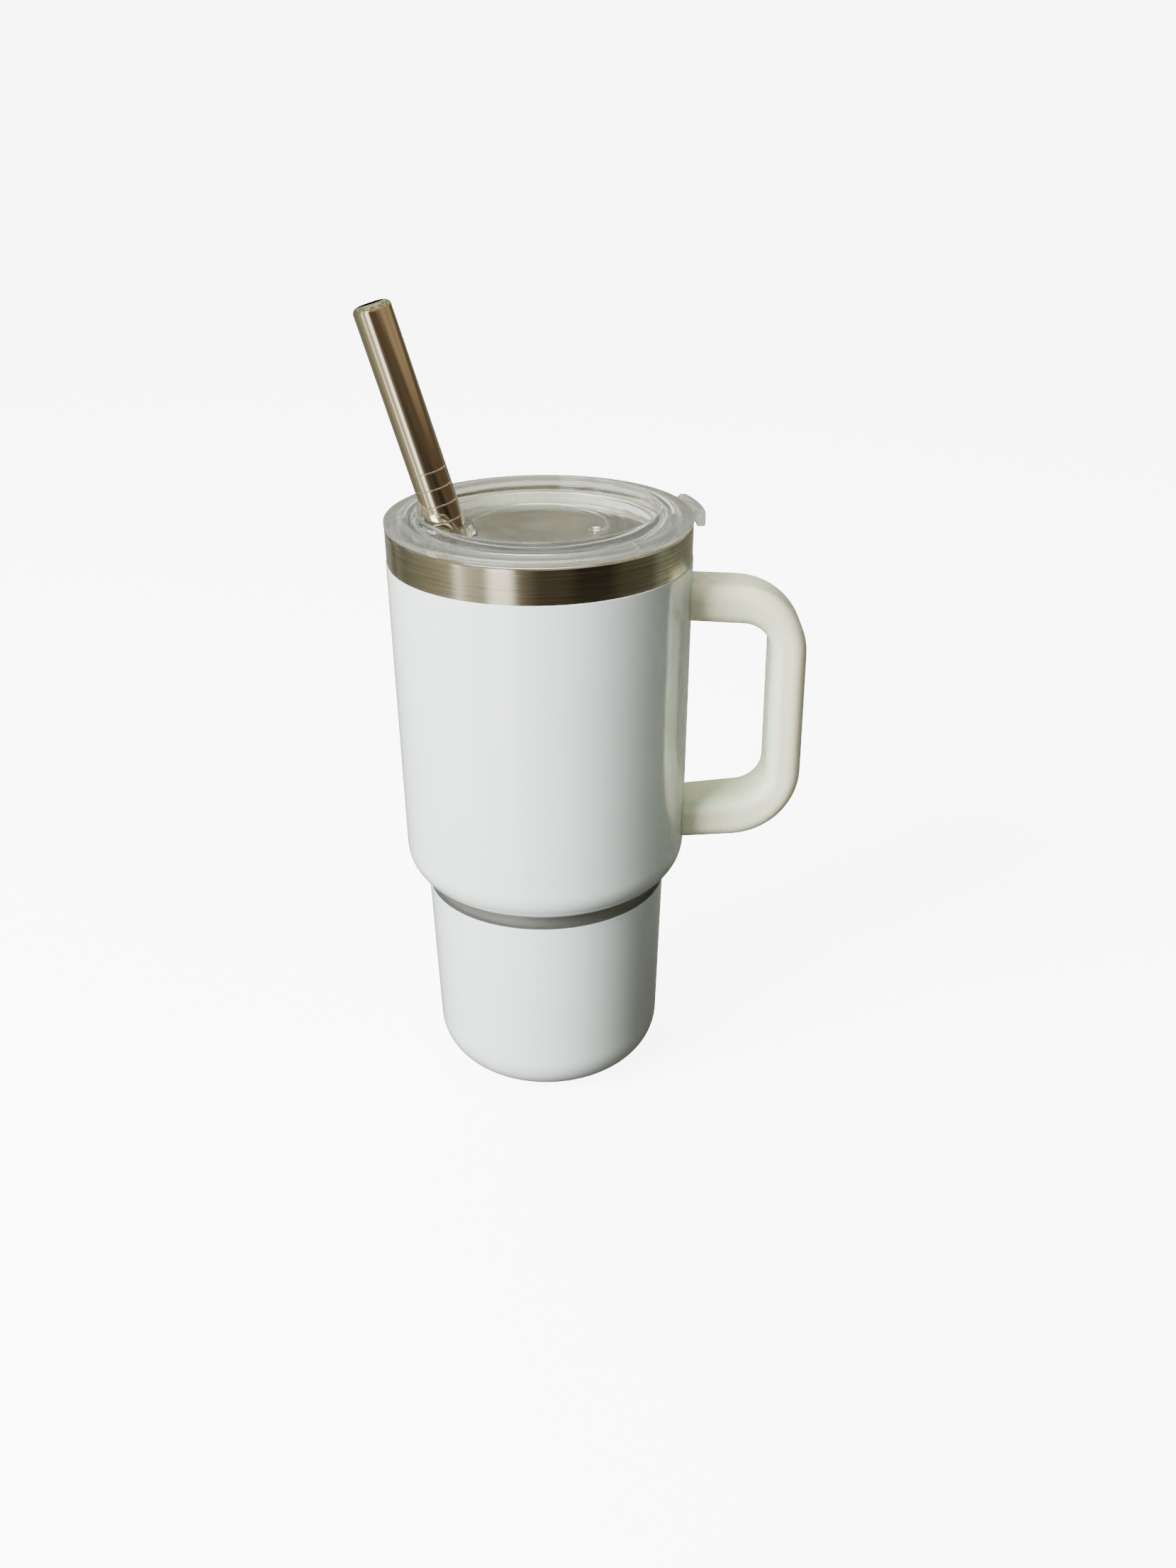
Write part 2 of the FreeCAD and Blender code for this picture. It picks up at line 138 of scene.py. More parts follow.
class HandleSettings(bpy.types.PropertyGroup):
    """Sizes and colour of the side handle."""

    inner_x: length("Grip inside", 37.55 * MM, "Distance of the grip's inner face from the axis")
    top_inner: length("Upper corner, inside", 82.95 * MM, "Height of the inner upper corner")
    top_outer: length("Upper corner, outside", 89.0 * MM, "Height of the outer upper corner")
    bottom_inner: length("Lower corner, inside", 52.5 * MM, "Height of the inner lower corner")
    bottom_outer: length("Lower corner, outside", 45.4 * MM, "Height of the outer lower corner")
    root_top_inner: length("Upper root, inside", 83.75 * MM, "Upper leg's inner face at the cup")
    root_top_outer: length("Upper root, outside", 89.95 * MM, "Upper leg's outer face at the cup")
    root_bottom_inner: length("Lower root, inside", 51.2 * MM, "Lower leg's inner face at the cup")
    root_bottom_outer: length("Lower root, outside", 44.4 * MM, "Lower leg's outer face at the cup")
    root_x: length("Root", 24.0 * MM, "Distance from the axis at which the root heights hold")
    inner_round: length("Inner round", 5.0 * MM, "Rounding of the inner corners")
    outer_round: length("Outer round", 12.0 * MM, "Rounding of the outer corners")
    edge_round: length("Edge round", 2.6 * MM, "Rounding of the long outer edges")
    rim_round: length("Rim round", 2.2 * MM, "Rounding of the long inner edges")
    wall: length("Wall", 1.4 * MM, "Thickness of the hollow handle's wall")
    rebate: length("Rebate", 1.2 * MM, "Depth of the seat for the inner cover")
    cover_half_width: length("Cover half width", 4.3 * MM, "Half the width of the inner cover")
    cavity_half_width: length("Cavity half width", 3.4 * MM, "Half the width of the hollow")
    cavity_round: length("Cavity round", 0.4 * MM, "Rounding of the hollow's corners")
    cover_round: length("Cover round", 0.12 * MM, "Rounding of the inner cover's hidden edges")
    seam: length("Seam", 0.03 * MM, "Gap round the cover, and between the handle and the cup")
    plastic: colour("Handle colour", (0.86, 0.86, 0.63), "Warm white plastic")


class LidSettings(bpy.types.PropertyGroup):
    """Colours of the lid and its seal, and where the lid's rim is hazier, which also paints a
    highlight on the rim.
    """

    clear: colour("Lid tint", (0.93, 0.94, 0.90), "Tint of the clear plastic")
    haze_and_glint: colour("Lid haze", (0.78, 0.79, 0.74), "Tone of the plastic's slight haze")
    # This milky tone also colours painted highlights on the rim and in fine rings.
    seal: colour("Seal colour", (0.80, 0.81, 0.77), "Milky silicone")
    # The rim's extra milkiness is partly real haze and partly a painted highlight for the rim's
    # bright reflections.
    flange_start: length("Haze start", 17.5 * MM, "Radius at which the rim's extra haze starts")
    flange_full: length("Haze full", 20.5 * MM, "Radius from which the rim's haze is full")


class StrawSettings(bpy.types.PropertyGroup):
    """Sizes and colour of the straw."""

    radius: length("Radius", 3.0 * MM, "Outside radius of the tube")
    wall: length("Wall", 0.5 * MM, "Thickness of the tube's wall")
    tip_round: length("Tip round", 1.0 * MM, "Rounding of the drinking end")
    throat_round: length("Throat round", 0.8 * MM, "Rounding inside the drinking end")
    end_round: length("End round", 0.2 * MM, "Rounding of the lower end")
    ring_round: length("Ring round", 0.1 * MM, "Rounding of each groove's edges")
    ring_drop: length("First ring", 25.8 * MM, "Distance of the top ring from the drinking end")
    ring_pitch: length("Ring pitch", 2.65 * MM, "Distance between the rings")
    ring_count: IntProperty(name="Rings", description="Number of rolled rings", default=4, min=1)
    ring_depth: length("Ring depth", 0.06 * MM, "Depth of each rolled groove")
    ring_half_width: length("Ring half width", 0.11 * MM, "Half the width of each rolled groove")
    bead: length("Bead", 0.05 * MM, "Radius of the fine bead in each groove")
    # The straw's warm gold cast is a painted reflection of warm surroundings; the steel itself is
    # plain.
    steel: colour("Straw colour", (0.70, 0.61, 0.46), "Polished steel with a warm cast")


class FootSettings(bpy.types.PropertyGroup):
    """Sizes and colour of the foot pad."""

    rim: length("Rim", 0.9 * MM, "Width of the flat outer rim")
    recess: length("Recess", 0.2 * MM, "Depth of the ribbed field")
    ribs: IntProperty(name="Ribs", description="Number of anti-slip ribs", default=28, min=3)
    rib_width: length("Rib width", 0.45 * MM, "Width of one rib")
    rib_gap: length("Rib gap", 0.3 * MM, "Gap at each end of a rib")
    rib_sink: length("Rib sink", 0.02 * MM, "How far a rib goes into the pad")
    boss_radius: length("Boss radius", 2.6 * MM, "Radius of the flat middle")
    rim_round: length("Rim round", 0.18 * MM, "Rounding of the pad's outer edge")
    edge_round: length("Edge round", 0.08 * MM, "Rounding of the pad's other edges")
    silicone: colour("Pad colour", (0.74, 0.74, 0.71), "Pale matt silicone")


class StageSettings(bpy.types.PropertyGroup):
    """Floor, lamps and camera."""

    floor: colour("Floor colour", (0.90, 0.90, 0.89), "Plain pale floor")
    glow: FloatProperty(name="Floor glow", description="Light of the lit-through floor",
                        default=8.0, min=0.0)
    ambient: colour("Ambient", (0.13, 0.13, 0.122), "Even light from all round")
    key_power: FloatProperty(name="Key lamp", description="Watts of the main lamp", default=30.0)
    top_power: FloatProperty(name="Top lamp", description="Watts of the upper lamp", default=4.0)
    fill_power: FloatProperty(name="Fill lamp", description="Watts of the front lamp", default=0.6)
    lens: FloatProperty(name="Lens", description="Focal length in millimetres", default=35.13)
    camera_place: FloatVectorProperty(name="Camera place", description="Where the camera stands",
                                      default=(0.007495, -0.237576, 0.168126), unit="LENGTH",
                                      precision=6)
    camera_pitch: FloatProperty(name="Camera pitch", description="How far the camera looks down",
                                default=0.452, subtype="ANGLE")
    camera_roll: FloatProperty(name="Camera roll", description="Turn about the view axis",
                               default=-0.0064, subtype="ANGLE")


SETTINGS = {
    "tumbler_cup": CupSettings,
    "tumbler_handle": HandleSettings,
    "tumbler_lid": LidSettings,
    "tumbler_straw": StrawSettings,
    "tumbler_foot": FootSettings,
    "tumbler_stage": StageSettings,
}


# ---- node trees -------------------------------------------------------------------------------
class Signal:
    """An output socket in a node tree. Arithmetic on signals adds Math nodes."""

    def __init__(self, wiring, socket):
        self.wiring = wiring
        self.socket = socket

    def __add__(self, other):
        return self.wiring.maths("ADD", self, other)

    def __sub__(self, other):
        return self.wiring.maths("SUBTRACT", self, other)

    def __rsub__(self, other):
        return self.wiring.maths("SUBTRACT", other, self)

    def __mul__(self, other):
        return self.wiring.maths("MULTIPLY", self, other)

    def __truediv__(self, other):
        return self.wiring.maths("DIVIDE", self, other)

    __radd__ = __add__
    __rmul__ = __mul__

    def above(self, low, high):
        """0 below low, 1 above high, and smooth between them."""
        settings = {"interpolation_type": "SMOOTHSTEP"}
        inputs = {"Value": self, "From Min": low, "From Max": high}
        return self.wiring.add("ShaderNodeMapRange", settings, inputs)


class Wiring:
    """A node tree under construction."""

    def __init__(self, tree):
        self.tree = tree

    def add(self, kind, settings=None, inputs=None, output=0):
        """Adds a node with its settings first, then the values or links of its sockets."""
        node = self.tree.nodes.new(kind)
        for key, value in (settings or {}).items():
            if key == "stops":
                set_stops(node.color_ramp, value)
            else:
                setattr(node, key, value)
        for key, value in (inputs or {}).items():
            if isinstance(value, Signal):
                self.tree.links.new(value.socket, node.inputs[key])
            else:
                node.inputs[key].default_value = value
        return Signal(self, node.outputs[output] if len(node.outputs) else None)

    def maths(self, operation, *values):
        return self.add("ShaderNodeMath", {"operation": operation}, dict(enumerate(values)))

    def mix(self, factor, first, second):
        """A blend of two colours."""
        inputs = {0: factor, 6: opaque(first), 7: opaque(second)}
        return self.add("ShaderNodeMix", {"data_type": "RGBA"}, inputs, output=2)

    def place(self, scale=(1, 1, 1), turn=(0, 0, 0)):
        """The piece's own coordinates, turned and then scaled."""
        spot = self.add("ShaderNodeTexCoord", output="Object")
        turned_spot = self.add("ShaderNodeMapping", {"vector_type": "POINT"},
                               {"Vector": spot, "Rotation": turn})
        return self.add("ShaderNodeVectorMath", {"operation": "MULTIPLY"},
                        {0: turned_spot, 1: scale})

    def noise(self, spot, scale, detail=2.0, roughness=0.5):
        inputs = {"Vector": spot, "Scale": scale, "Detail": detail, "Roughness": roughness}
        return self.add("ShaderNodeTexNoise", None, inputs)

    def bump(self, height, depth, strength=1.0):
        inputs = {"Height": height, "Distance": depth, "Strength": strength}
        return self.add("ShaderNodeBump", None, inputs)


def set_stops(ramp, stops):
    while len(ramp.elements) < len(stops):
        ramp.elements.new(0.5)
    for element, (position, tone) in zip(ramp.elements, stops):
        element.position = position
        element.color = opaque(tone)


def dimmed(tone, share):
    return tuple(share * channel for channel in tone)


def opaque(value):
    """A colour of three numbers with its alpha; anything else as it is."""
    if isinstance(value, Signal) or len(value) != 3:
        return value
    return (*value, 1.0)


finishes = {}


def finish_of(name, build, **constants):
    """A material whose Principled shader takes constants, and links or values from build."""
    if name in finishes:
        return finishes[name]
    made = finishes[name] = bpy.data.materials.new(name + "_finish")
    made.use_nodes = True
    made.node_tree.nodes.clear()
    wiring = Wiring(made.node_tree)
    inputs = {key.replace("_", " "): value for key, value in constants.items()}
    inputs.update(build(wiring))
    shader = wiring.add("ShaderNodeBsdfPrincipled", None, inputs)
    wiring.add("ShaderNodeOutputMaterial", None, {"Surface": shader})
    return made


# ---- finishes ---------------------------------------------------------------------------------
def paint_finish(tone):
    """Glossy cool white powder paint with faint orange peel."""

    def build(w):
        spot = w.place()
        cloud = w.noise(spot, 45.0, 3.0)
        peel = w.noise(spot, 900.0, 2.0)
        worn = w.noise(spot, 260.0, 4.0, 0.65)
        dim = dimmed(tone, 0.965)
        return {
            "Base Color": w.mix(cloud.above(0.40, 0.65), tone, dim),
            "Roughness": 0.09 + worn * 0.08,
            "Normal": w.bump(peel, 0.006 * MM, 0.5),
        }

    return finish_of("white_paint", build, Coat_Weight=0.6, Coat_Roughness=0.04, IOR=1.5)


def brushed_finish(name, tone, roughness, depth, anisotropic):
    """Steel brushed round the cup, with short streaks of varying brightness."""

    def build(w):
        fine = w.noise(w.place((120.0, 120.0, 14000.0)), 1.0, 3.0, 0.6)
        broad = w.noise(w.place((45.0, 45.0, 2600.0)), 1.0, 4.0, 0.6)
        cloud = w.noise(w.place(), 60.0, 2.0)
        streak = fine * 0.6 + broad * 0.4
        dark = dimmed(tone, 0.66)
        return {
            "Base Color": w.mix(streak.above(0.36, 0.60), dark, tone),
            "Roughness": roughness + (streak - 0.5) * 0.30 + (cloud - 0.5) * 0.06,
            "Normal": w.bump(streak, depth, 0.6),
        }

    return finish_of(name, build, Metallic=1.0, Anisotropic=anisotropic,
                     Anisotropic_Rotation=0.25)


def liner_finish(tone):
    """Satin steel inside the cup, turned, with a soft variation."""

    def build(w):
        ring = w.noise(w.place((30.0, 30.0, 4200.0)), 1.0, 3.0)
        cloud = w.noise(w.place(), 110.0, 3.0)
        return {
            "Base Color": w.mix(ring, dimmed(tone, 0.85), tone),
            "Roughness": 0.20 + ring * 0.14 + cloud * 0.06,
            "Normal": w.bump(ring, 0.002 * MM, 0.6),
        }

    return finish_of("liner_steel", build, Metallic=1.0)


PLAIN_STEEL = ("plain_steel", (0.56, 0.56, 0.54), 0.32)


def plain_steel_finish(name, tone, roughness, metallic=1.0):
    """Pressed sheet that was not polished."""

    def build(w):
        grain = w.noise(w.place(), 1500.0, 3.0)
        cloud = w.noise(w.place(), 180.0, 3.0)
        return {
            "Base Color": w.mix(cloud, dimmed(tone, 0.82), tone),
            "Roughness": roughness + grain * 0.12,
            "Normal": w.bump(grain, 0.006 * MM, 0.4),
        }

    return finish_of(name, build, Metallic=metallic)


def straw_finish(tone):
    """Bright drawn tube: a mirror with faint lines along its length."""
    back_up = STRAW_AXIS.rotation_difference(Vector((0, 0, 1))).to_euler()

    def build(w):
        drawn = w.noise(w.place((1400.0, 1400.0, 16.0), tuple(back_up)), 1.0, 2.0)
        smear = w.noise(w.place(), 160.0, 3.0)
        dark = dimmed(tone, 0.86)
        return {
            "Base Color": w.mix(drawn.above(0.35, 0.65), dark, tone),
            "Roughness": 0.025 + drawn * 0.04 + smear.above(0.5, 0.75) * 0.03,
            "Normal": w.bump(smear, 0.004 * MM, 0.3),
        }

    return finish_of("polished_steel", build, Metallic=1.0)


def handle_finish(name, tone, roughness):
    """Moulded warm white plastic with a satin gloss."""

    def build(w):
        grain = w.noise(w.place(), 2200.0, 2.0)
        flow = w.noise(w.place((60.0, 60.0, 18.0)), 1.0, 3.0)
        rub = w.noise(w.place(), 320.0, 4.0, 0.65)
        return {
            "Base Color": w.mix(flow.above(0.35, 0.7), tone, dimmed(tone, 0.95)),
            "Roughness": roughness + rub * 0.12,
            "Normal": w.bump(grain, 0.004 * MM, 0.45),
        }

    return finish_of(name, build, IOR=1.48, Coat_Weight=0.15, Coat_Roughness=0.2,
                     Subsurface_Weight=0.5, Subsurface_Scale=0.0025)


def silicone_finish(name, tone, roughness, clearness=0.0):
    """Matt silicone with a dusty surface."""

    def build(w):
        grain = w.noise(w.place(), 2800.0, 2.0)
        dust = w.noise(w.place(), 240.0, 4.0)
        return {
            "Base Color": w.mix(dust.above(0.4, 0.7), tone, dimmed(tone, 0.92)),
            "Roughness": roughness + dust * 0.15,
            "Normal": w.bump(grain, 0.008 * MM, 0.5),
        }

    return finish_of(name, build, IOR=1.43, Transmission_Weight=clearness)


def metal_finish(name, tone, roughness, scale):
    """A hidden metal piece: foil, sintered getter or glassy seal."""

    def build(w):
        crease = w.noise(w.place(), scale, 4.0, 0.6)
        return {
            "Base Color": w.mix(crease, dimmed(tone, 0.8), tone),
            "Roughness": roughness + crease * 0.2,
            "Normal": w.bump(crease, 0.02 * MM, 0.5),
        }

    return finish_of(name, build, Metallic=0.9)


def clear_finish(tone, milk_tone, flange):
    """Clear plastic that lets lamps shine through, with a slight milky layer on the flange that
    partly stands in for its bright reflections, and fine rings of it that are painted concentric
    highlights.
    """
    made = bpy.data.materials.new("clear_plastic_finish")
    made.use_nodes = True
    made.node_tree.nodes.clear()
    w = Wiring(made.node_tree)
    cloud = w.noise(w.place(), 130.0, 3.0)
    swirl = w.noise(w.place((26.0, 26.0, 80.0)), 1.0, 2.0)
    across = w.add("ShaderNodeVectorMath", {"operation": "LENGTH"}, {0: w.place((1, 1, 0))},
                   output="Value")
    flow = w.add("ShaderNodeTexNoise", {"noise_dimensions": "1D"}, {"W": across, "Scale": 700.0})
    ripple = w.bump(flow, 0.04 * MM, 0.35)
    scuff = w.noise(w.place((900.0, 900.0, 300.0)), 1.0, 3.0, 0.7)
    clear = w.add("ShaderNodeBsdfPrincipled", None, {
        "Base Color": w.mix(cloud, tone, dimmed(tone, 0.97)),
        "Roughness": 0.015 + scuff.above(0.60, 0.80) * 0.05,
        "IOR": CLEAR_IOR,
        "Transmission Weight": 1.0,
        "Normal": w.add("ShaderNodeBump", None, {
            "Height": swirl, "Distance": 0.12 * MM, "Strength": 0.3, "Normal": ripple}),
    })
    milk = w.add("ShaderNodeBsdfPrincipled", None, {
        "Base Color": w.mix(cloud, milk_tone, dimmed(milk_tone, 0.9)),
        "Roughness": 0.10 + scuff * 0.08,
        "IOR": CLEAR_IOR,
    })
    # Share of the milky layer: on the flange partly haze and partly a painted highlight for the
    # rim's bright reflections; the thin rings from flow are painted concentric highlights.
    haze_and_glint = across.above(*flange) * 0.028 + flow.above(0.50, 0.75) * 0.05 + 0.008
    seen = w.add("ShaderNodeMixShader", None, {0: haze_and_glint, 1: clear, 2: milk})
    gap = w.add("ShaderNodeBsdfTransparent", None, {"Color": opaque(tone)})
    shadow = w.add("ShaderNodeLightPath", output="Is Shadow Ray")
    mixed = w.add("ShaderNodeMixShader", None, {0: shadow, 1: seen, 2: gap})
    w.add("ShaderNodeOutputMaterial", None, {"Surface": mixed})
    return made


# ---- outlines and meshes ----------------------------------------------------------------------
def rounded(corners, closed=False):
    """Points of an outline in two dimensions. Each corner is (x, y) or (x, y, radius).

    A straight stretch gets a holding point near each end, so that smooth shading stays flat on it.
    """
    points = []

    def run_to(point):
        if points and (point - points[-1]).length > 4 * HOLD:
            step = (point - points[-1]).normalized() * HOLD
            points.extend([points[-1] + step, point - step])
        points.append(point)

    for i, corner in enumerate(corners):
        here = Vector(corner[:2])
        radius = corner[2] if len(corner) > 2 else 0.0
        if radius == 0.0:
            run_to(here)
            continue
        to_before = (Vector(corners[i - 1][:2]) - here).normalized()
        to_after = (Vector(corners[(i + 1) % len(corners)][:2]) - here).normalized()
        half = to_before.angle(to_after) / 2
        reach = radius / math.tan(half)
        centre = here + (to_before + to_after).normalized() * (radius / math.sin(half))
        arm, last_arm = here + to_before * reach - centre, here + to_after * reach - centre
        turn = math.pi - 2 * half
        steps = max(3, math.ceil(turn / ARC_STEP))
        run_to(centre + arm)
        for k in range(1, steps + 1):
            share = k / steps
            spoke = arm * math.sin((1 - share) * turn) + last_arm * math.sin(share * turn)
            points.append(centre + spoke / math.sin(turn))
    if closed:
        run_to(points[0])
        points.pop()
    return points


def cut_at(points, radius):
    """The part of a line of (r, z) points that lies outside radius, ended exactly there."""
    kept = []
    for point in points:
        if point.x < radius:
            share = (kept[-1].x - radius) / (kept[-1].x - point.x)
            kept.append(kept[-1].lerp(point, share))
            return kept
        kept.append(point)
    return kept


def mesh_from(name, work):
    """A mesh from a finished bmesh, with outward normals, smooth apart from its sharp edges."""
    bmesh.ops.remove_doubles(work, verts=work.verts, dist=FINE)
    bmesh.ops.recalc_face_normals(work, faces=work.faces)
    mesh = bpy.data.meshes.new(name)
    work.to_mesh(mesh)
    work.free()
    mesh.shade_smooth()
    mesh.set_sharp_from_angle(angle=SHARP_ANGLE)
    return mesh


def turned(name, outline, steps=TURN_STEPS):
    """A mesh turned about Z from a closed outline of (r, z) points."""
    work = bmesh.new()
    rings = []
    for r, z in outline:
        if r < FINE:
            rings.append([work.verts.new((0, 0, z))] * steps)
            continue
        angles = [2 * math.pi * k / steps for k in range(steps)]
        rings.append([work.verts.new((r * math.cos(a), r * math.sin(a), z)) for a in angles])
    for i, ring in enumerate(rings):
        below = rings[i - 1]
        for k in range(steps):
            after = (k + 1) % steps
            corners = dict.fromkeys([below[k], below[after], ring[after], ring[k]])
            if len(corners) > 2:
                work.faces.new(corners)
    return mesh_from(name, work)


def add_piece(name, mesh, finish, body, slot, *nodes):
    """A visible piece that rides on body and stands for the CAD nodes."""
    piece = bpy.data.objects.new(name, mesh)
    bpy.context.scene.collection.objects.link(piece)
    if finish.name not in mesh.materials:
        mesh.materials.append(finish)
    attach(piece, body)
    if nodes:
        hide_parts(*nodes)
    return piece


def refinish(node, finish):
    """Gives a CAD node, whose shape stays, a better material."""
    piece = frame["nodes"][node]
    for material_slot in piece.material_slots:
        material_slot.material = finish


def grown(name, tree, values, transform=None):
    """The plain mesh that a Geometry Nodes tree makes from its input values."""
    holder = bpy.data.objects.new(name, bpy.data.meshes.new(name))
    bpy.context.scene.collection.objects.link(holder)
    modifier = holder.modifiers.new(tree.name, "NODES")
    modifier.node_group = tree
    for item in tree.interface.items_tree:
        if item.item_type == "SOCKET" and item.in_out == "INPUT":
            modifier[item.identifier] = values[item.name]
    seen = holder.evaluated_get(bpy.context.evaluated_depsgraph_get())
    mesh = bpy.data.meshes.new_from_object(seen)
    bpy.data.objects.remove(holder)
    if transform:
        mesh.transform(transform)
    return mesh


def new_tree(name, inputs):
    """A Geometry Nodes tree with named inputs. Returns its wiring and its input signals."""
    tree = bpy.data.node_groups.new(name, "GeometryNodeTree")
    for label, kind in inputs.items():
        tree.interface.new_socket(label, in_out="INPUT", socket_type="NodeSocket" + kind)
    tree.interface.new_socket("Geometry", in_out="OUTPUT", socket_type="NodeSocketGeometry")
    wiring = Wiring(tree)
    source = tree.nodes.new("NodeGroupInput")
    return wiring, {label: Signal(wiring, source.outputs[label]) for label in inputs}


def close_tree(wiring, instances, material):
    """Ends a tree with real geometry in one material."""
    real = wiring.add("GeometryNodeRealizeInstances", None, {"Geometry": instances})
    dressed = wiring.add("GeometryNodeSetMaterial", None,
                         {"Geometry": real, "Material": material})
    wiring.add("NodeGroupOutput", None, {"Geometry": dressed})
    return wiring.tree


def ring_tree():
    """Rings of round bead, one above another along Z."""
    w, given = new_tree("rolled_rings", {
        "Count": "Int", "Pitch": "Float", "Ring radius": "Float", "Bead radius": "Float",
        "Faces": "Int", "Material": "Material"})
    offset = w.add("ShaderNodeCombineXYZ", None, {"Z": given["Pitch"]})
    places = w.add("GeometryNodeMeshLine", {"mode": "OFFSET"},
                   {"Count": given["Count"], "Offset": offset})
    circle = {"Resolution": given["Faces"], "Radius": given["Ring radius"]}
    path = w.add("GeometryNodeCurvePrimitiveCircle", {"mode": "RADIUS"}, circle)
    bead = w.add("GeometryNodeCurvePrimitiveCircle", {"mode": "RADIUS"},
                 {"Resolution": 8, "Radius": given["Bead radius"]})
    ring = w.add("GeometryNodeCurveToMesh", None, {"Curve": path, "Profile Curve": bead})
    copies = w.add("GeometryNodeInstanceOnPoints", None, {"Points": places, "Instance": ring})
    return close_tree(w, copies, given["Material"])


def rib_tree():
    """Straight ribs laid out like spokes round Z."""
    w, given = new_tree("spoke_ribs", {
        "Count": "Int", "Middle radius": "Float", "Rib size": "Vector", "Rib middle z": "Float",
        "Material": "Material"})
    circle = {"Resolution": given["Count"], "Radius": given["Middle radius"]}
    path = w.add("GeometryNodeCurvePrimitiveCircle", {"mode": "RADIUS"}, circle)
    places = w.add("GeometryNodeCurveToPoints", {"mode": "EVALUATED"}, {"Curve": path})
    lift = w.add("ShaderNodeCombineXYZ", None, {"Z": given["Rib middle z"]})
    places = w.add("GeometryNodeSetPosition", None, {"Geometry": places, "Offset": lift})
    spot = w.add("GeometryNodeInputPosition")
    outward = w.add("ShaderNodeVectorMath", {"operation": "MULTIPLY"}, {0: spot, 1: (1, 1, 0)})
    turn = w.add("FunctionNodeAlignRotationToVector", {"axis": "X", "pivot_axis": "Z"},
                 {"Vector": outward})
    rib = w.add("GeometryNodeMeshCube", None, {"Size": given["Rib size"]})
    copies = w.add("GeometryNodeInstanceOnPoints", None,
                   {"Points": places, "Instance": rib, "Rotation": turn})
    return close_tree(w, copies, given["Material"])


# ---- the cup's walls --------------------------------------------------------------------------
def wall_radius(cup, z):
    """Painted radius of the upper section at height z."""
    share = (z - SHOULDER_Z) / (PAINT_TOP_Z - SHOULDER_Z)
    return cup.shoulder_radius + share * (cup.top_radius - cup.shoulder_radius)


def upper_wall(cup, inset, z_top, r_stop):
    """The upper section's side and round shoulder, moved in by inset, down to radius r_stop."""
    low = SHOULDER_Z + inset
    corner = (cup.shoulder_radius - inset, low, cup.shoulder_round - inset)
    return cut_at(rounded([(wall_radius(cup, z_top) - inset, z_top), corner, (0, low)]), r_stop)


def lower_wall(cup, inset):
    """Corners of the lower section's side and round foot, moved in by inset."""
    return [
        (cup.base_radius - inset, BASE_Z + inset, cup.base_round - inset),
        (cup.base_hole, BASE_Z + inset),
    ]


class TUMBLER_OT_paint(bpy.types.Operator):
    """Make the painted skins of the upper and lower sections"""

    bl_idname = "tumbler.paint"
    bl_label = "Painted skins"

    def execute(self, context):
        cup = context.scene.tumbler_cup
        finish = paint_finish(tuple(cup.paint))
        edge = 0.45 * cup.coat        # rounding of the paint's edge
        stop = cup.neck_radius + cup.neck_gap
        outer = upper_wall(cup, 0.0, PAINT_TOP_Z - edge, stop)
        inner = upper_wall(cup, cup.coat, PAINT_TOP_Z, stop)
        top = wall_radius(cup, PAINT_TOP_Z)
        softened = [Vector((top - 0.3 * edge, PAINT_TOP_Z - 0.3 * edge)),
                    Vector((top - edge, PAINT_TOP_Z))]
        skin = turned("painted_upper", softened[::-1] + outer + inner[::-1])
        add_piece("painted_upper", skin, finish, "cup", "white_paint", "coat_upper")

        outline = rounded([
            (cup.ledge_radius, LEDGE_Z, edge), *lower_wall(cup, 0.0),
            *lower_wall(cup, cup.coat)[::-1], (cup.ledge_radius - cup.coat, LEDGE_Z),
        ], closed=True)
        add_piece("painted_lower", turned("painted_lower", outline), finish, "cup",
                  "white_paint", "coat_lower")
        return {"FINISHED"}


class TUMBLER_OT_shells(bpy.types.Operator):
    """Make the two steel shells: the brushed band, and the neck with its ledge"""

    bl_idname = "tumbler.shells"
    bl_label = "Steel shells"

    def execute(self, context):
        cup = context.scene.tumbler_cup
        steel, bore = cup.coat, cup.coat + cup.sheet
        # cup.steel carries a warm brown cast that is a painted reflection, not the steel's own
        # colour.
        band = brushed_finish("brushed_steel", tuple(cup.steel), 0.20, 0.0012 * MM, 0.75)
        outer = upper_wall(cup, steel, WALL_TOP_Z, cup.neck_radius)
        inner = upper_wall(cup, bore, WALL_TOP_Z, cup.neck_radius)
        add_piece("steel_upper", turned("steel_upper", outer + inner[::-1]), band, "cup",
                  "brushed_steel", "upper_shell")

        neck = plain_steel_finish("neck_steel", (0.31, 0.32, 0.30), 0.50, 0.8)
        outline = rounded([
            (cup.neck_radius, COLLAR_Z), (cup.neck_radius, LEDGE_Z),
            (cup.ledge_radius - steel, LEDGE_Z, cup.ledge_round),
            *lower_wall(cup, steel), *lower_wall(cup, bore)[::-1],
            (cup.ledge_radius - bore, LEDGE_Z - cup.sheet),
            (cup.neck_radius - cup.sheet, LEDGE_Z - cup.sheet),
            (cup.neck_radius - cup.sheet, COLLAR_Z),
        ], closed=True)
        add_piece("steel_lower", turned("steel_lower", outline), neck, "cup",
                  "brushed_steel", "lower_shell")
        return {"FINISHED"}


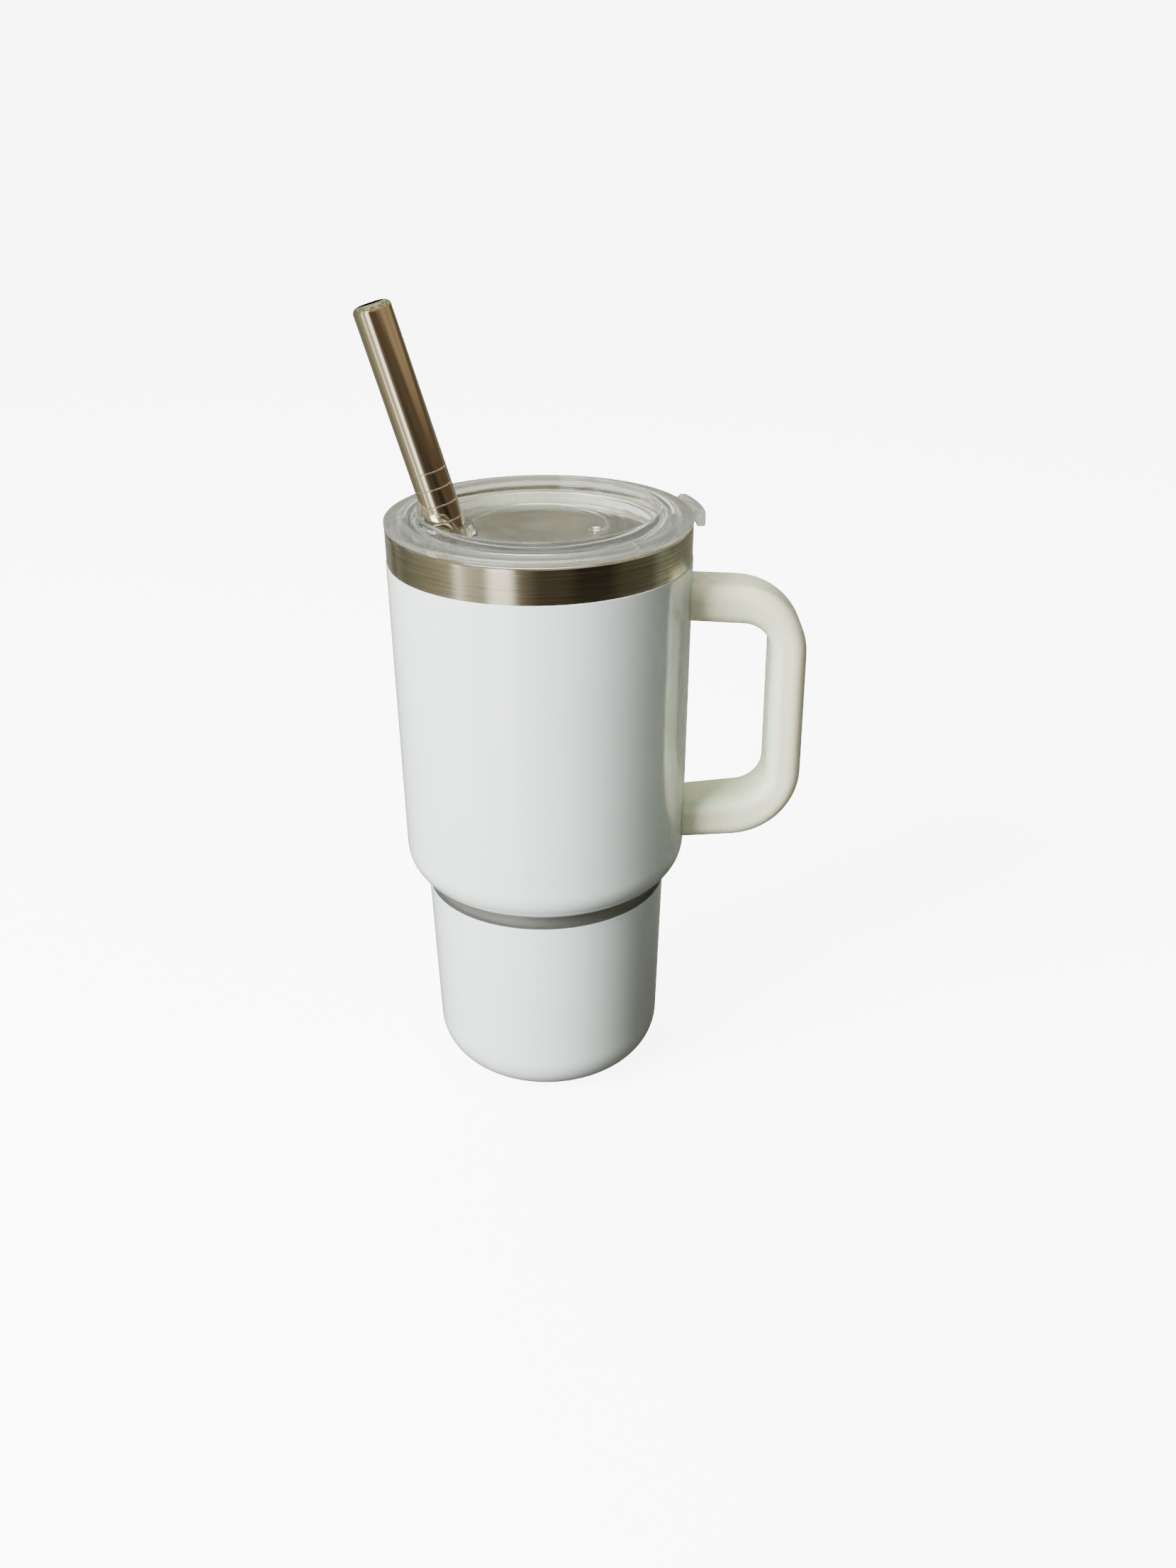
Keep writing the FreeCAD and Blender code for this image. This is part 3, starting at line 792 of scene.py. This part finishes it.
class TUMBLER_OT_mouth(bpy.types.Operator):
    """Make the rolled lip and the liner"""

    bl_idname = "tumbler.mouth"
    bl_label = "Lip and liner"

    def execute(self, context):
        cup = context.scene.tumbler_cup
        # The lip's warm tone is a painted reflection of warm surroundings on plain steel.
        lip = brushed_finish("lip_steel", (0.66, 0.62, 0.50), 0.12, 0.001 * MM, 0.3)
        outline = rounded([
            (wall_radius(cup, WALL_TOP_Z) - cup.coat, WALL_TOP_Z),
            (wall_radius(cup, LIP_Z) - cup.coat, LIP_Z, cup.lip_round),
            (cup.seat_radius, LIP_Z, cup.lip_round), (cup.seat_radius, WALL_TOP_Z),
        ], closed=True)
        add_piece("rolled_lip", turned("rolled_lip", outline), lip, "cup", "lip_steel",
                  "mouth_ring")

        low, seat_z = bottom_of("inner_liner"), WALL_TOP_Z - cup.seat_depth

        def side(inset):
            """The liner's outer surface, moved in by inset, from its top to its middle."""
            wide, narrow = cup.seat_radius + cup.sheet, cup.liner_base + cup.sheet
            return [
                (wide - inset, WALL_TOP_Z), (wide - inset, seat_z, cup.seat_round),
                (narrow - inset, low + inset, cup.liner_round - inset), (0.0, low + inset),
            ]

        outline = rounded(side(0.0) + side(cup.sheet)[::-1], closed=True)
        # The liner's warm beige tone is a painted reflection of warm surroundings on plain steel.
        add_piece("liner", turned("liner", outline), liner_finish((0.64, 0.60, 0.48)), "cup",
                  "liner_steel", "inner_liner")
        return {"FINISHED"}


class TUMBLER_OT_foot(bpy.types.Operator):
    """Make the ribbed silicone foot pad and finish the pieces round it"""

    bl_idname = "tumbler.foot"
    bl_label = "Foot"

    def execute(self, context):
        foot = context.scene.tumbler_foot
        radius, top = radius_of("foot_pad"), top_of("foot_pad")
        silicone = silicone_finish("foot_silicone", tuple(foot.silicone), 0.55)
        field = radius - foot.rim
        soft = foot.edge_round
        outline = rounded([
            (0.0, top), (radius, top), (radius, 0.0, foot.rim_round), (field, 0.0, soft),
            (field, foot.recess, soft), (foot.boss_radius, foot.recess, soft),
            (foot.boss_radius, 0.0, soft), (0.0, 0.0),
        ], closed=True)
        add_piece("foot_pad_body", turned("foot_pad_body", outline), silicone, "cup",
                  "foot_silicone", "foot_pad")
        reach = field - foot.boss_radius - 2 * foot.rib_gap
        ribs = grown("foot_pad_ribs", rib_tree(), {
            "Count": foot.ribs, "Middle radius": (field + foot.boss_radius) / 2,
            "Rib size": (reach, foot.rib_width, foot.recess + foot.rib_sink),
            "Rib middle z": (foot.recess + foot.rib_sink) / 2, "Material": silicone})
        add_piece("foot_pad_ribs", ribs, silicone, "cup", "foot_silicone")

        pan = brushed_finish("base_steel", (0.58, 0.57, 0.54), 0.3, 0.006 * MM, 0.2)
        refinish("base_cover", pan)
        refinish("vacuum_base", plain_steel_finish(*PLAIN_STEEL))
        return {"FINISHED"}


class TUMBLER_OT_inside(bpy.types.Operator):
    """Finish the pieces that are closed in: foil, getter, seal bead, studs and screws"""

    bl_idname = "tumbler.inside"
    bl_label = "Closed-in pieces"

    def execute(self, context):
        plain = plain_steel_finish(*PLAIN_STEEL)
        screw = plain_steel_finish("screw_steel", (0.48, 0.48, 0.49), 0.24)
        refinish("copper_foil", metal_finish("copper_foil", (0.80, 0.42, 0.27), 0.12, 420.0))
        refinish("getter", metal_finish("getter_metal", (0.22, 0.22, 0.23), 0.6, 2400.0))
        refinish("seal_plug", metal_finish("seal_glass", (0.16, 0.15, 0.14), 0.25, 1500.0))
        refinish("getter_clip", plain)
        for side in ("upper", "lower"):
            refinish(side + "_stud", plain)
            refinish(side + "_screw", screw)
        return {"FINISHED"}


# ---- handle -----------------------------------------------------------------------------------
def handle_paths(handle):
    """Outer and inner faces of the handle in the X-Z plane, with matching points."""
    x_out, x_in, x_end = radius_of("handle_shell"), handle.inner_x, handle.root_x

    def path(x, top, bottom, root_top, root_bottom, radius):
        return rounded([(x_end, root_top), (x, top, radius), (x, bottom, radius),
                        (x_end, root_bottom)])

    outer = path(x_out, handle.top_outer, handle.bottom_outer, handle.root_top_outer,
                 handle.root_bottom_outer, handle.outer_round)
    inner = path(x_in, handle.top_inner, handle.bottom_inner, handle.root_top_inner,
                 handle.root_bottom_inner, handle.inner_round)
    return outer, inner


def rim_arc(half, radius, start, end):
    """Points (depth, y) on the rounding of the handle's inner edge, from y = start to end."""
    centre = half - radius
    first, last = (math.asin((y - centre) / radius) for y in (start, end))
    steps = math.ceil((last - first) / ARC_STEP)
    turns = [first + (last - first) * k / steps for k in range(steps + 1)]
    return [(radius - radius * math.cos(t), centre + radius * math.sin(t)) for t in turns]


def mirrored(points):
    return [(depth, -y) for depth, y in points]


def lofted(name, handle, section, cup):
    """A mesh from section, a closed outline of (depth, y), carried along the handle.

    section is a function of the handle's depth, because the corners are thicker than the grip.
    """
    work = bmesh.new()
    rows = []
    outer, inner = handle_paths(handle)
    for far, near in zip(outer, inner):
        depth = (far - near).length
        across = (far - near) / depth
        row = []
        for d, y in section(depth):
            spot = near + across * d
            row.append(work.verts.new((spot.x, y, spot.y)))
        rows.append(row)
    for row in (rows[0], rows[-1]):
        for vert in row:
            wall = wall_radius(cup, vert.co.z) + handle.seam
            vert.co.x = math.sqrt(wall * wall - vert.co.y * vert.co.y)
        work.faces.new(row)
    for row, after in zip(rows, rows[1:]):
        for k, vert in enumerate(row):
            work.faces.new((row[k - 1], vert, after[k], after[k - 1]))
    return mesh_from(name, work)


class TUMBLER_OT_handle(bpy.types.Operator):
    """Make the handle's channel and its inner cover"""

    bl_idname = "tumbler.handle"
    bl_label = "Handle"

    def execute(self, context):
        handle, cup = context.scene.tumbler_handle, context.scene.tumbler_cup
        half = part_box("handle_shell")[1].y
        seat, hollow = handle.cover_half_width, handle.cavity_half_width

        def channel(depth):
            floor = depth - handle.wall
            lip = rim_arc(half, handle.rim_round, seat, half)
            return rounded([
                *mirrored(lip), (depth, -half, handle.edge_round),
                (depth, half, handle.edge_round), *lip[::-1],
                (handle.rebate, seat), (handle.rebate, hollow),
                (floor, hollow, handle.cavity_round), (floor, -hollow, handle.cavity_round),
                (handle.rebate, -hollow), (handle.rebate, -seat),
            ], closed=True)

        def cover(depth):
            edge, back, soft = seat - handle.seam, handle.rebate - handle.seam, handle.cover_round
            bend = rim_arc(half, handle.rim_round, half - handle.rim_round, edge)
            return rounded([
                *mirrored(bend), (back, -edge, soft), (back, edge, soft), *bend[::-1],
            ], closed=True)

        tone = tuple(handle.plastic)
        shell = handle_finish("handle_plastic", tone, 0.22)
        # The cover gets the handle's tone dimmed a little: painted shade on the handle's inner face.
        cover_shaded_finish = handle_finish("cover_plastic", dimmed(tone, 0.97), 0.30)
        add_piece("handle_channel", lofted("handle_channel", handle, channel, cup), shell,
                  "cup", "handle_plastic", "handle_shell")
        add_piece("handle_cover", lofted("handle_cover", handle, cover, cup), cover_shaded_finish,
                  "cup", "handle_plastic", "handle_inner_cover")
        return {"FINISHED"}


# ---- lid and straw ----------------------------------------------------------------------------
class TUMBLER_OT_lid(bpy.types.Operator):
    """Finish the clear lid and its silicone seal"""

    bl_idname = "tumbler.lid"
    bl_label = "Lid and seal"

    def execute(self, context):
        lid = context.scene.tumbler_lid
        flange = (lid.flange_start, lid.flange_full)
        refinish("lid_cap", clear_finish(tuple(lid.clear), tuple(lid.haze_and_glint), flange))
        refinish("lid_seal", silicone_finish("seal_silicone", tuple(lid.seal), 0.30, 0.35))
        return {"FINISHED"}


def straw_stand(straw):
    """The matrix that stands a tube made along Z in the straw's place, and the tube's length.

    A leaning disc's rim is above and below its middle, so the ends are moved in by that much.
    """
    low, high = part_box("straw")
    lean = math.hypot(STRAW_AXIS.x, STRAW_AXIS.y)
    foot_z = low.z + straw.radius * lean
    tip_z = high.z - (straw.radius - straw.tip_round) * lean
    middle = (low + high) / 2
    foot = middle - STRAW_AXIS * ((middle.z - foot_z) / STRAW_AXIS.z)
    tilt = Vector((0, 0, 1)).rotation_difference(STRAW_AXIS).to_matrix().to_4x4()
    return Matrix.Translation(foot) @ tilt, (tip_z - foot_z) / STRAW_AXIS.z


def straw_outline(straw, tube_length, rings):
    """Outline (r, z) of the tube, with a shallow groove at each height in rings."""
    bore, mouth = straw.radius - straw.wall, straw.radius - straw.tip_round
    outer = [(straw.radius, 0.0, straw.end_round)]
    for at in reversed(rings):
        outer += [
            (straw.radius, at - straw.ring_half_width, straw.ring_round),
            (straw.radius - straw.ring_depth, at, straw.ring_round / 2),
            (straw.radius, at + straw.ring_half_width, straw.ring_round),
        ]
    return rounded([
        *outer, (straw.radius, tube_length, NEARLY * straw.tip_round), (mouth, tube_length),
        (bore, tube_length - 2 * straw.wall, straw.throat_round), (bore, 0.0, straw.end_round),
    ], closed=True)


class TUMBLER_OT_straw(bpy.types.Operator):
    """Make the steel straw with its rolled rings"""

    bl_idname = "tumbler.straw"
    bl_label = "Straw"

    def execute(self, context):
        straw = context.scene.tumbler_straw
        # straw.steel holds a warm cast that is a painted reflection.
        finish = straw_finish(tuple(straw.steel))
        stand, tube_length = straw_stand(straw)
        rings = [tube_length - straw.ring_drop - i * straw.ring_pitch
                 for i in range(straw.ring_count)]
        outline = straw_outline(straw, tube_length, rings)
        tube = turned("straw_tube", outline, STRAW_STEPS)
        tube.transform(stand)
        add_piece("straw_tube", tube, finish, "straw", "polished_steel", "straw")

        # The beads' pale steel is a painted glint: it draws the thin bright lines of light on the
        # rolled rings.
        glint_steel = plain_steel_finish("ring_steel", (0.85, 0.84, 0.80), 0.18)
        beads = grown("straw_rings", ring_tree(), {
            "Count": straw.ring_count, "Pitch": straw.ring_pitch,
            "Ring radius": straw.radius - straw.ring_depth, "Bead radius": straw.bead,
            "Faces": STRAW_STEPS, "Material": glint_steel,
        }, stand @ Matrix.Translation((0, 0, rings[-1])))
        beads.shade_smooth()
        add_piece("straw_rings", beads, glint_steel, "straw", "polished_steel")
        return {"FINISHED"}


# ---- stage ------------------------------------------------------------------------------------
LAMP_AIM = Vector((0.0, 0.0, 0.06))


def add_lamp(name, place, size, power, tone):
    """A soft lamp that shines at the cup and isn't mirrored by polished pieces."""
    lamp = bpy.data.lights.new(name, "AREA")
    lamp.shape = "RECTANGLE"
    lamp.size, lamp.size_y = size
    lamp.energy = power
    lamp.color = tone
    holder = bpy.data.objects.new(name, lamp)
    bpy.context.scene.collection.objects.link(holder)
    holder.location = place
    holder.rotation_euler = (LAMP_AIM - Vector(place)).to_track_quat("-Z", "Y").to_euler()
    holder.visible_glossy = False


# What polished pieces reflect, by heading: a share of a turn from straight behind, by way of the
# left, so 0.5 is in front. The tones are multiplied by ROOM_STRENGTH.
ROOM = [
    (0.00, (0.095, 0.095, 0.080)), (0.10, (0.100, 0.100, 0.085)), (0.12, (0.030, 0.028, 0.022)),
    (0.14, (0.090, 0.088, 0.070)), (0.17, (0.055, 0.060, 0.045)), (0.27, (0.110, 0.105, 0.080)),
    (0.315, (0.150, 0.142, 0.110)), (0.330, (0.560, 0.555, 0.520)), (0.350, (0.260, 0.250, 0.205)),
    (0.390, (0.180, 0.172, 0.140)), (0.408, (0.900, 0.890, 0.840)), (0.440, (0.850, 0.840, 0.790)),
    (0.455, (0.090, 0.082, 0.070)), (0.50, (0.024, 0.020, 0.016)), (0.56, (0.022, 0.018, 0.014)),
    (0.585, (0.009, 0.008, 0.006)), (0.65, (0.010, 0.009, 0.007)), (0.68, (0.026, 0.024, 0.017)),
    (0.76, (0.032, 0.033, 0.025)), (0.785, (0.070, 0.080, 0.062)), (0.82, (0.044, 0.052, 0.038)),
    (0.90, (0.060, 0.060, 0.048)), (1.00, (0.095, 0.095, 0.080)),
]
TABLE = (0.022, 0.020, 0.015)
CEILING, CEILING_LIGHT = (0.080, 0.086, 0.064), (0.250, 0.246, 0.205)
BANK_FOOT, BANK_TOP = (0.034, 0.026, 0.017), (0.112, 0.090, 0.058)
BANK_CREST, BANK_DROP = 0.62, 0.59
ROOM_STRENGTH = 4.0


def room_light(ambient, backdrop, glow):
    """Soft light for matt pieces, a room for polished ones to reflect, and a pale backdrop."""
    world = bpy.data.worlds.new("room")
    bpy.context.scene.world = world
    world.use_nodes = True
    world.node_tree.nodes.clear()
    w = Wiring(world.node_tree)
    heading = w.add("ShaderNodeTexCoord", output="Generated")
    x, y, z = (w.add("ShaderNodeSeparateXYZ", None, {"Vector": heading}, output=axis)
               for axis in "XYZ")
    turn = w.maths("ARCTAN2", x, y * -1.0) / (2 * math.pi) + 0.5
    cards = w.add("ShaderNodeValToRGB", {"stops": ROOM}, {"Fac": turn})
    patches = w.noise(heading, 3.4, 2.0).above(0.44, 0.60)
    overhead = w.mix(patches, CEILING, CEILING_LIGHT)
    # A bank climbs from the front towards the right: its lower edge follows the heading.
    rise = z - w.maths("MINIMUM", turn, BANK_CREST) + BANK_DROP
    bank = w.mix(rise.above(0.07, 0.15), BANK_FOOT, BANK_TOP)
    right = turn.above(0.45, 0.48) * (1.0 - turn.above(0.88, 0.96))
    lower = w.mix(z.above(-0.62, -0.48), TABLE, cards)
    walls = w.mix(rise.above(-0.03, 0.03) * right, lower, bank)
    room = w.mix(z.above(0.22, 0.45), walls, overhead)
    sky = w.add("ShaderNodeBackground", None, {"Color": room, "Strength": ROOM_STRENGTH})
    for ray, tone, strength in (("Diffuse", ambient, 1.0), ("Camera", backdrop, glow)):
        plain = w.add("ShaderNodeBackground", None, {"Color": opaque(tone), "Strength": strength})
        chosen = w.add("ShaderNodeLightPath", output=f"Is {ray} Ray")
        sky = w.add("ShaderNodeMixShader", None, {0: chosen, 1: sky, 2: plain})
    w.add("ShaderNodeOutputWorld", None, {"Surface": sky})


def add_floor(stage):
    """A wide pale floor that bends up into a backdrop, lit from within."""
    near, wall, height, bend, half = -2.0, 1.6, 2.2, 0.7, 3.0
    profile = rounded([(near, 0.0), (wall, 0.0, bend), (wall, height)])
    work = bmesh.new()
    rows = [[work.verts.new((x, y, z)) for x in (-half, half)] for y, z in profile]
    for row, after in zip(rows, rows[1:]):
        work.faces.new((row[0], row[1], after[1], after[0]))
    mesh = bpy.data.meshes.new("floor")
    work.to_mesh(mesh)
    work.free()
    mesh.shade_smooth()
    floor = bpy.data.objects.new("floor", mesh)
    bpy.context.scene.collection.objects.link(floor)

    def build(w):
        pale = tuple(stage.floor)
        return {"Base Color": w.mix(w.noise(w.place(), 9.0, 3.0), pale, dimmed(pale, 0.99))}

    paper = finish_of("floor_paper", build, Roughness=0.7, Emission_Strength=stage.glow,
                      Emission_Color=opaque(tuple(stage.floor)))
    mesh.materials.append(paper)
    floor.visible_glossy = False
    floor.visible_diffuse = False
    floor.visible_transmission = False


def add_camera(stage):
    """The scene's camera."""
    camera = bpy.data.cameras.new("camera")
    camera.lens = stage.lens
    camera.sensor_width = 36.0
    camera.clip_start = 0.005
    holder = bpy.data.objects.new("camera", camera)
    bpy.context.scene.collection.objects.link(holder)
    pitch = Euler((math.pi / 2 - stage.camera_pitch, 0, 0)).to_matrix()
    roll = Euler((0, 0, stage.camera_roll)).to_matrix()
    holder.location = stage.camera_place
    holder.rotation_euler = (pitch @ roll).to_euler()
    bpy.context.scene.camera = holder


class TUMBLER_OT_stage(bpy.types.Operator):
    """Make the floor, the lamps and the camera"""

    bl_idname = "tumbler.stage"
    bl_label = "Stage"

    def execute(self, context):
        stage = context.scene.tumbler_stage
        room_light(tuple(stage.ambient), tuple(stage.floor), stage.glow)
        add_floor(stage)
        add_lamp("key", (-0.50, -0.42, 0.42), (0.42, 0.45), stage.key_power, (1.0, 1.0, 1.0))
        add_lamp("top", (-0.10, 0.12, 0.70), (0.50, 0.50), stage.top_power, (1.0, 1.0, 0.98))
        add_lamp("fill", (0.12, -0.66, 0.30), (0.40, 0.40), stage.fill_power, (1.0, 0.98, 0.94))
        add_camera(stage)
        return {"FINISHED"}


# ---- add-on -----------------------------------------------------------------------------------
OPERATORS = (
    TUMBLER_OT_shells,
    TUMBLER_OT_paint,
    TUMBLER_OT_mouth,
    TUMBLER_OT_foot,
    TUMBLER_OT_inside,
    TUMBLER_OT_handle,
    TUMBLER_OT_lid,
    TUMBLER_OT_straw,
    TUMBLER_OT_stage,
)


class TUMBLER_PT_pieces(bpy.types.Panel):
    """The tumbler's operators and settings"""

    bl_label = "Tumbler"
    bl_space_type = "VIEW_3D"
    bl_region_type = "UI"
    bl_category = "Tumbler"

    def draw(self, context):
        for operator in OPERATORS:
            self.layout.operator(operator.bl_idname)
        for name, group in SETTINGS.items():
            box = self.layout.box()
            box.label(text=group.__doc__)
            for item in group.__annotations__:
                box.prop(getattr(context.scene, name), item)


CLASSES = (*SETTINGS.values(), *OPERATORS, TUMBLER_PT_pieces)


def register():
    for cls in CLASSES:
        bpy.utils.register_class(cls)
    for name, group in SETTINGS.items():
        setattr(bpy.types.Scene, name, PointerProperty(type=group))


def unregister():
    for name in SETTINGS:
        delattr(bpy.types.Scene, name)
    for cls in reversed(CLASSES):
        bpy.utils.unregister_class(cls)


def main():
    register()
    for operator in OPERATORS:
        group, name = operator.bl_idname.split(".")
        getattr(getattr(bpy.ops, group), name)()


if __name__ == "__main__":
    main()
